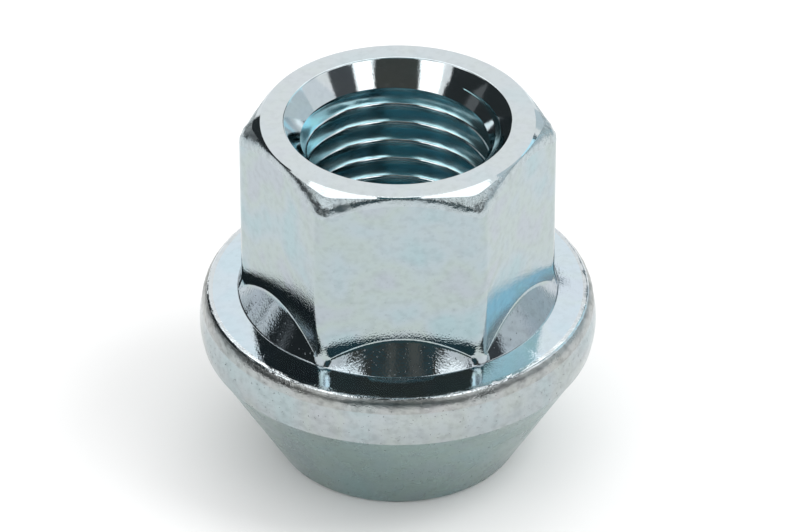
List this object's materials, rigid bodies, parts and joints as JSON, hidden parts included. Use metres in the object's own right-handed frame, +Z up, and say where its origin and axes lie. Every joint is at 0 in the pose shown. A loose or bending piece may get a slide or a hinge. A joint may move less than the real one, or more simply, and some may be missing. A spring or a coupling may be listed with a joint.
{
  "type": "lug nut",
  "caption": "Open-ended wheel lug nut with a hex head, a scalloped foot, a rounded collar and a tapered seat; it clamps a wheel onto a threaded stud.",
  "frame": {"origin": "centre of the seat's narrow end face, on the thread's axis, where the nut stands", "axes": "+Z up along the thread's axis towards the hex, with a hex flat facing -Y and a hex corner on +X"},
  "size_m": [0.0274, 0.0274, 0.0262],
  "materials": {
    "zinc_plated_steel": "bright zinc plate with a clear blue passivation, semi-gloss, with faint mottling and small nicks on the hex corners"
  },
  "bodies": {
    "root": {"lug_nut": "zinc_plated_steel"}
  },
  "joints": []
}
